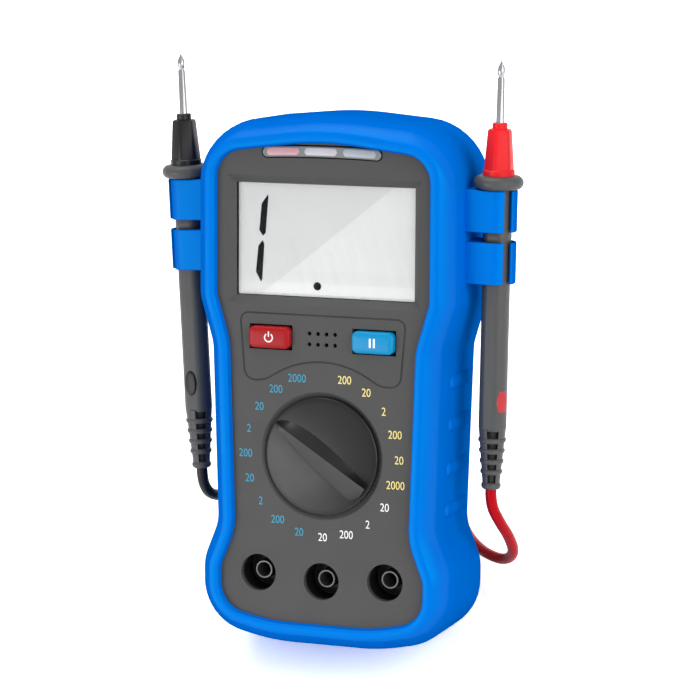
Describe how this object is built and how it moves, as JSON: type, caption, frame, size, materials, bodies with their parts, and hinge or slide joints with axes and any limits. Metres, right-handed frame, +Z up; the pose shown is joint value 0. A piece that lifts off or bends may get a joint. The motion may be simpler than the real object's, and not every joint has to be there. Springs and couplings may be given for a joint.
{
  "type": "handheld component tester",
  "caption": "Handheld component tester in a blue rubber holster, leaning on its tilt stand, with a rotary range dial, display, input jacks and test probes in side clips.",
  "frame": {"origin": "centre of the footprint of the meter, stand and probes (leads left out), on the floor", "axes": "+X to the meter's right as seen from its front, +Y away from the viewer towards the stand, +Z up"},
  "size_m": [0.1127, 0.151, 0.1556],
  "materials": {
    "holster_rubber": "satin moulded rubber",
    "panel_plastic": "fine texture",
    "case_plastic": "fine texture",
    "knob_plastic": "satin",
    "clear_plastic": "clear",
    "lcd_glass": "satin grey",
    "white_plastic": "satin",
    "strip_rubber": "banded",
    "board_green": "solder mask",
    "black_plastic": "satin",
    "red_plastic": "satin",
    "blue_plastic": "satin",
    "plunger_white": "satin",
    "bright_metal": "nickel plated",
    "steel": "zinc plated",
    "brass": "bright",
    "fuse_glass": "clear",
    "lamp_plastic": "diffuse",
    "battery_can": "printed sleeve",
    "handle_plastic": "soft touch",
    "inlay_red": "satin",
    "red_jacket": "satin",
    "black_jacket": "satin",
    "tie_fabric": "woven"
  },
  "bodies": {
    "meter": {"backlight": "white_plastic", "battery": "battery_can", "battery_door": "case_plastic", "battery_door_screw": "steel", "battery_snap": "black_plastic", "battery_wires": "black_jacket", "black_lead": "black_jacket", "black_lead_coil": "black_jacket", "black_lead_tail": "black_jacket", "black_lead_tie": "tie_fabric", "black_plug": "black_plastic", "black_plug_pin": "bright_metal", "board_screws": "steel", "case_screws": "steel", "circuit_board": "board_green", "display_window": "clear_plastic", "front_case": "panel_plastic", "fuse": "fuse_glass", "fuse_clips": "brass", "hold_switch": "black_plastic", "holster": "holster_rubber", "indicator_leds": "lamp_plastic", "indicator_lens": "clear_plastic", "jack_housing": "black_plastic", "jack_left": "bright_metal", "jack_middle": "bright_metal", "jack_right": "bright_metal", "lcd_glass": "lcd_glass", "lcd_holder": "white_plastic", "meter_chip": "black_plastic", "power_switch": "black_plastic", "rear_case": "case_plastic", "red_lead": "red_jacket", "red_lead_coil": "red_jacket", "red_lead_tail": "red_jacket", "red_lead_tie": "tie_fabric", "red_plug": "red_plastic", "red_plug_pin": "bright_metal", "transistor_socket": "black_plastic", "zebra_strip": "strip_rubber"},
    "dial": {"dial_knob": "knob_plastic", "switch_rotor": "white_plastic", "wiper_contacts": "brass", "detent_balls": "steel", "detent_springs": "steel"},
    "power_key": {"power_button": "red_plastic", "power_plunger": "plunger_white"},
    "hold_key": {"hold_button": "blue_plastic", "hold_plunger": "plunger_white"},
    "stand": {"tilt_stand": "case_plastic"},
    "red_probe": {"red_probe_handle": "handle_plastic", "red_handle_inlay": "inlay_red", "red_tip_cap": "red_plastic", "red_probe_needle": "bright_metal"},
    "black_probe": {"black_probe_handle": "handle_plastic", "black_handle_inlay": "black_plastic", "black_tip_cap": "black_plastic", "black_probe_needle": "bright_metal"}
  },
  "joints": [
    {"name": "dial_turn", "type": "hinge", "parent": "meter", "child": "dial", "pos_m": [0, -0.02384, 0.06312], "axis": [0, -0.8829, 0.4695], "continuous": true},
    {"name": "power_press", "type": "slide", "parent": "meter", "child": "power_key", "axis": [0, 0.8829, -0.4695], "range_m": [0, 0.0015], "stiffness_N_per_m": 300, "springref_m": -0.002},
    {"name": "hold_press", "type": "slide", "parent": "meter", "child": "hold_key", "axis": [0, 0.8829, -0.4695], "range_m": [0, 0.001], "stiffness_N_per_m": 300, "springref_m": -0.002},
    {"name": "stand_fold", "type": "hinge", "parent": "meter", "child": "stand", "pos_m": [0, 0.01653, 0.0745], "axis": [1, 0, 0], "range_deg": [-36, 0]},
    {"name": "red_probe_pull", "type": "slide", "parent": "meter", "child": "red_probe", "axis": [0.0244, 0.4382, 0.8985], "range_m": [0, 0.088]},
    {"name": "black_probe_pull", "type": "slide", "parent": "meter", "child": "black_probe", "axis": [-0.0384, 0.438, 0.8981], "range_m": [0, 0.088]}
  ]
}
